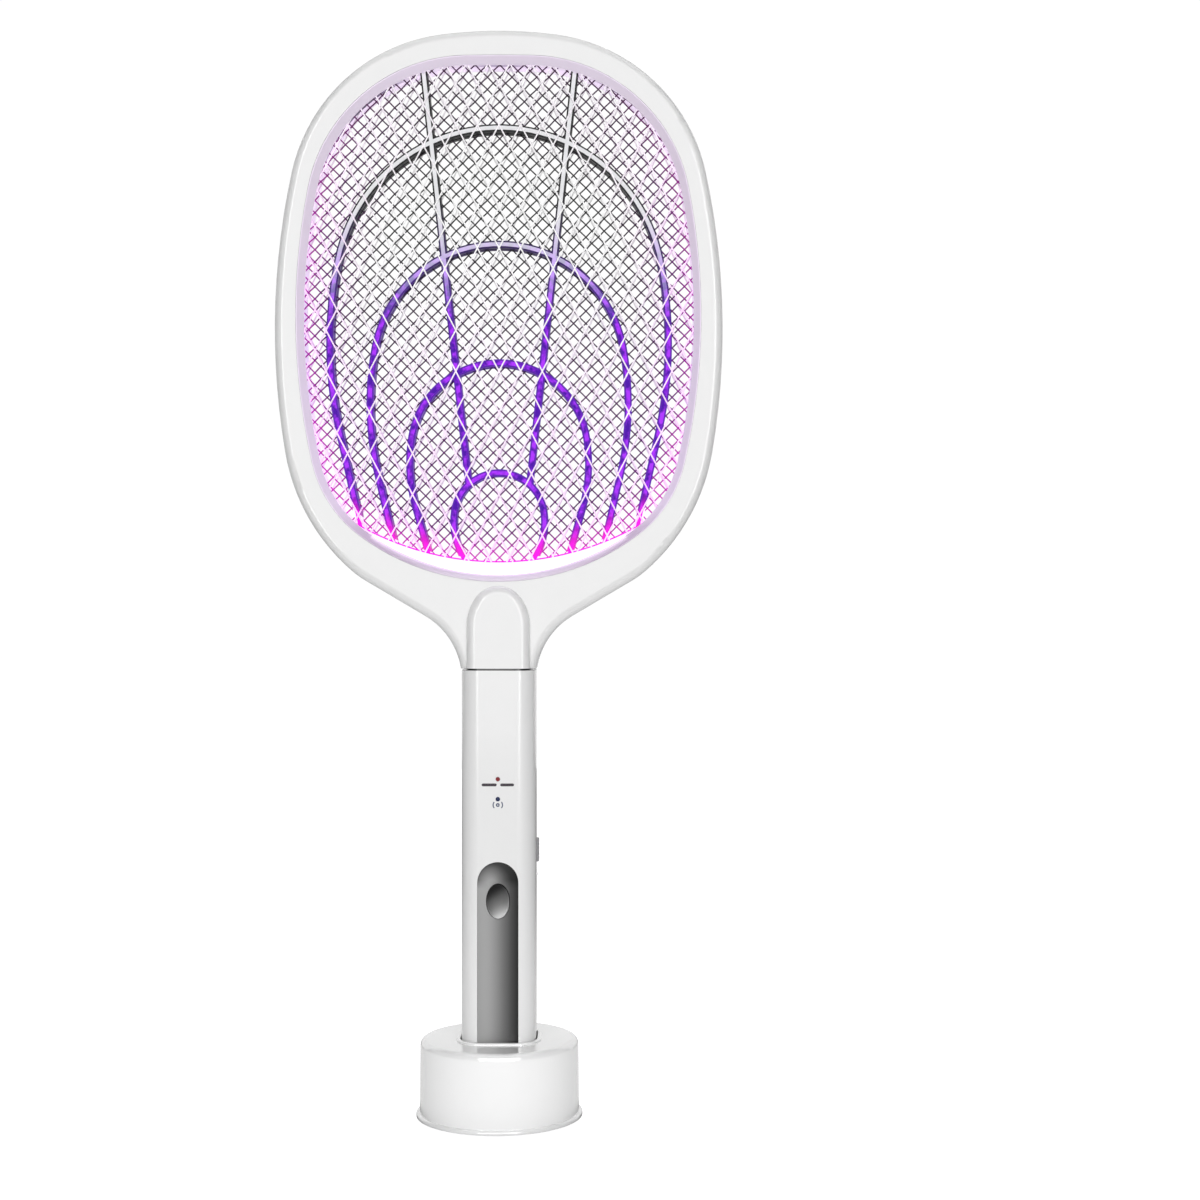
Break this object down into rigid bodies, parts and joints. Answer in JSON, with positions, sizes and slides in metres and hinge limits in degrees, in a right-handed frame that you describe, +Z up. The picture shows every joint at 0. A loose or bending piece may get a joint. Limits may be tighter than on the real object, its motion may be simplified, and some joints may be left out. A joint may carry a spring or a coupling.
{
  "type": "electric fly swatter",
  "caption": "Racket-shaped electric fly swatter with a lit guard mesh over a high-voltage grid, standing in a round charging dock.",
  "frame": {"origin": "on the floor under the centre of the dock", "axes": "+Z up along the handle, -Y out of the front with the zap button, +X to the right of a viewer in front"},
  "size_m": [0.2066, 0.077, 0.502],
  "materials": {
    "white_plastic": "satin gloss moulded ABS",
    "dock_plastic": "polished moulded ABS",
    "lilac_plastic": "satin, lilac tint",
    "mesh_white": "white coated",
    "rib_plastic": "translucent, lit violet from below",
    "carrier_plastic": "fine matte",
    "grid_steel": "galvanised wire",
    "diffuser": "frosted, lit",
    "board_green": "solder mask",
    "lamp": "clear lamp",
    "inlay_grey": "satin gloss",
    "slider_grey": "fine matte",
    "red_lens": "clear red",
    "blue_lens": "clear blue",
    "steel": "zinc plated",
    "contact_brass": "plated",
    "nickel": "nickel plated",
    "black_plastic": "moulded",
    "ferrite": "wound ferrite",
    "capacitor_red": "dipped epoxy",
    "cell_wrap": "heat-shrink wrap",
    "wire_red": "insulation",
    "rubber": "soft"
  },
  "bodies": {
    "dock": {"dock_shell": "dock_plastic", "dock_bottom_cover": "dock_plastic", "dock_rubber_feet": "rubber", "dock_cover_screws": "steel", "dock_board": "board_green", "usb_c_inlet_shell": "nickel", "usb_c_inlet_tongue": "black_plastic", "contact_pin_barrels": "contact_brass"},
    "racket": {"battery_cell": "cell_wrap", "blue_indicator": "blue_lens", "cell_contacts": "nickel", "charge_leads": "wire_red", "charging_contacts": "contact_brass", "film_capacitor": "capacitor_red", "front_bezel_ring": "lilac_plastic", "front_frame": "white_plastic", "front_grid_carrier": "carrier_plastic", "front_guard_mesh": "mesh_white", "front_handle_shell": "white_plastic", "front_rib_caps": "rib_plastic", "front_spacer": "carrier_plastic", "handle_end_cap": "white_plastic", "handle_screws": "steel", "head_screws": "steel", "high_voltage_grid": "grid_steel", "high_voltage_leads": "wire_red", "indicator_leds": "lamp", "led_board": "board_green", "light_bar": "diffuser", "main_board": "board_green", "mode_switch": "steel", "rear_bezel_ring": "lilac_plastic", "rear_frame": "white_plastic", "rear_grid_carrier": "carrier_plastic", "rear_guard_mesh": "mesh_white", "rear_handle_shell": "white_plastic", "rear_rib_caps": "rib_plastic", "rear_spacer": "carrier_plastic", "rectifier_diodes": "black_plastic", "red_indicator": "red_lens", "step_up_transformer": "ferrite", "tact_switch": "black_plastic", "thumb_inlay": "inlay_grey", "uv_leds": "lamp"},
    "zap_button": {"zap_button": "inlay_grey", "tact_plunger": "black_plastic"},
    "mode_slider": {"mode_slider": "slider_grey", "mode_switch_lever": "black_plastic"},
    "contact_pin_left": {"contact_pin_left": "contact_brass"},
    "contact_pin_right": {"contact_pin_right": "contact_brass"}
  },
  "joints": [
    {"name": "racket_lift", "type": "slide", "parent": "dock", "child": "racket", "axis": [0, 0, 1], "range_m": [0, 0.06]},
    {"name": "zap_press", "type": "slide", "parent": "racket", "child": "zap_button", "axis": [0, 1, 0], "range_m": [0, 0.001], "stiffness_N_per_m": 1500, "springref_m": -0.0005},
    {"name": "mode_slide", "type": "slide", "parent": "racket", "child": "mode_slider", "axis": [0, 0, 1], "range_m": [-0.004, 0]},
    {"name": "contact_left_travel", "type": "slide", "parent": "dock", "child": "contact_pin_left", "axis": [0, 0, 1], "range_m": [-0.0012, 0], "stiffness_N_per_m": 300, "springref_m": 0.0008},
    {"name": "contact_right_travel", "type": "slide", "parent": "dock", "child": "contact_pin_right", "axis": [0, 0, 1], "range_m": [-0.0012, 0], "stiffness_N_per_m": 300, "springref_m": 0.0008}
  ]
}
